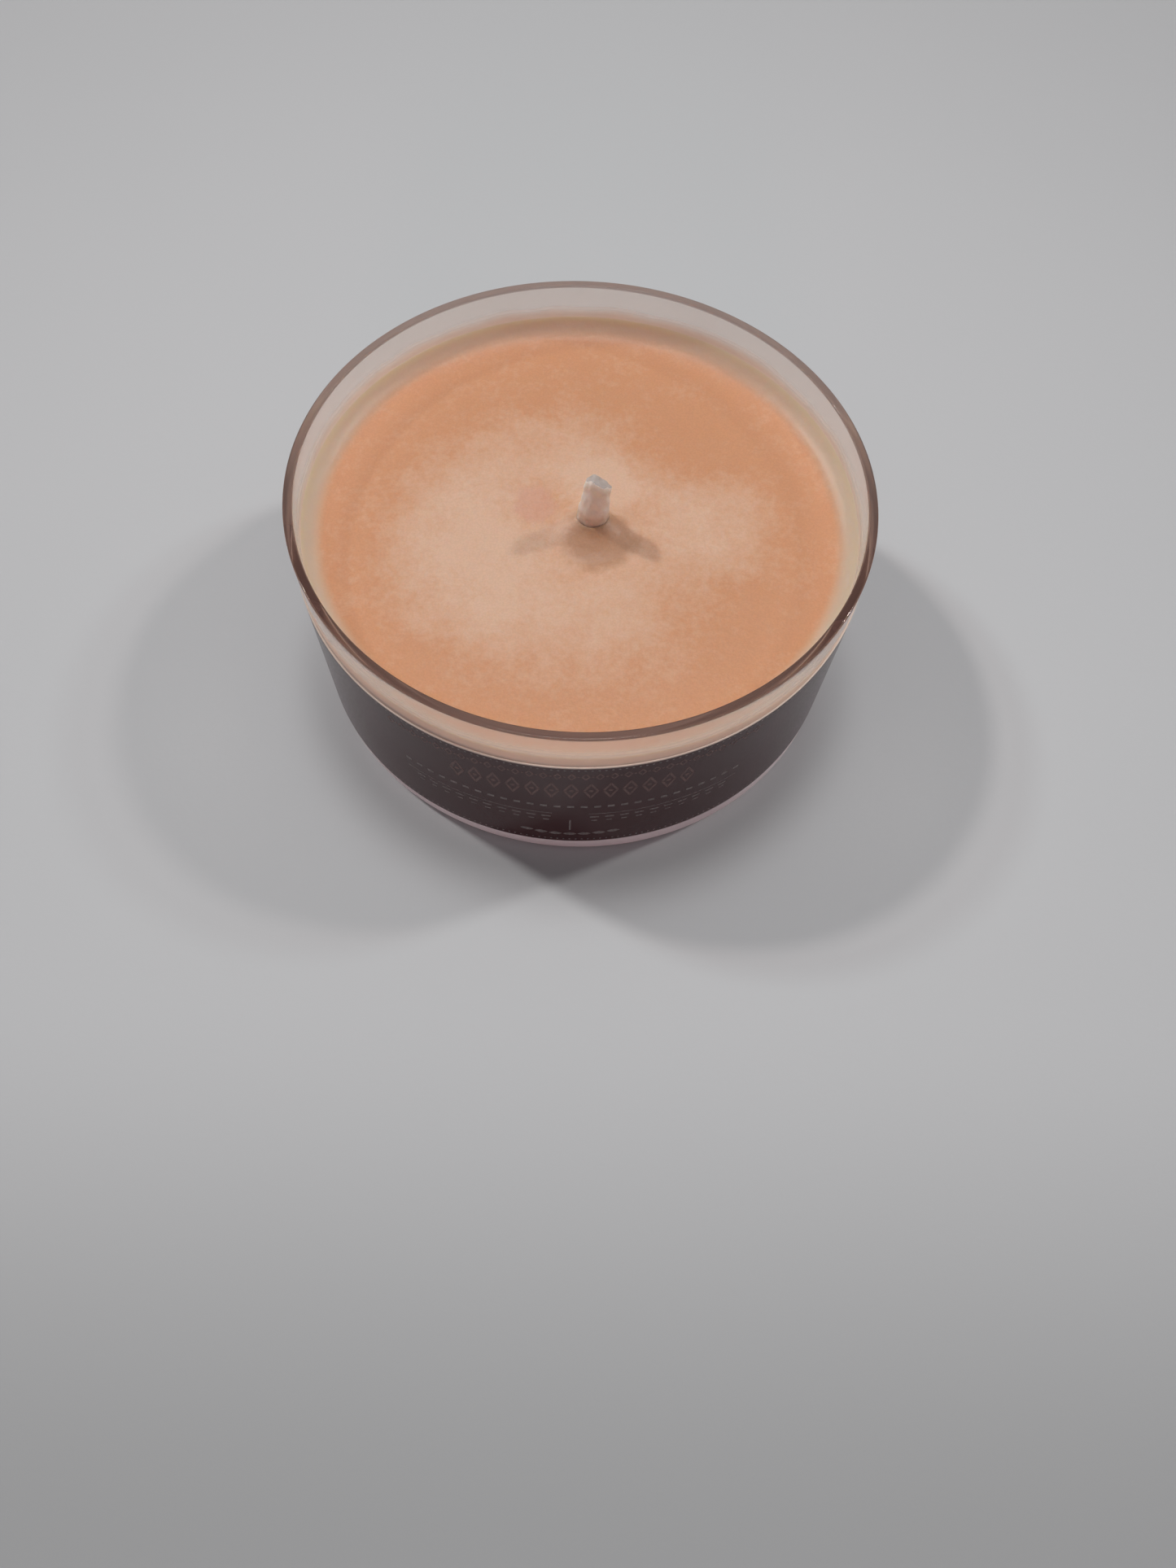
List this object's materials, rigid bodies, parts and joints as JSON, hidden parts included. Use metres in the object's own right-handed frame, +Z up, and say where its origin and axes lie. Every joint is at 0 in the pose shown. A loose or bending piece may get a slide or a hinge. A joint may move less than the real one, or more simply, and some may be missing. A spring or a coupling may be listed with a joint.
{
  "type": "container candle",
  "caption": "Small poured wax candle in a clear straight-sided plastic cup, with a cotton wick on a metal sustainer and a dark printed band round the cup.",
  "frame": {"origin": "centre of the foot, on the surface the cup stands on", "axes": "+Z up along the cup's axis; -Y towards the side the label's artwork faces; the wick leans towards +X"},
  "size_m": [0.039, 0.039, 0.0173],
  "materials": {
    "clear_cup": "polished",
    "wax": "satin",
    "wick": "matte",
    "sustainer_metal": "satin",
    "sticker_foam": "matte",
    "label_print": "satin"
  },
  "bodies": {
    "root": {"cup": "clear_cup", "wax_fill": "wax", "wick": "wick", "wick_sustainer": "sustainer_metal", "wick_sticker": "sticker_foam", "wrap_label": "label_print"}
  },
  "joints": []
}
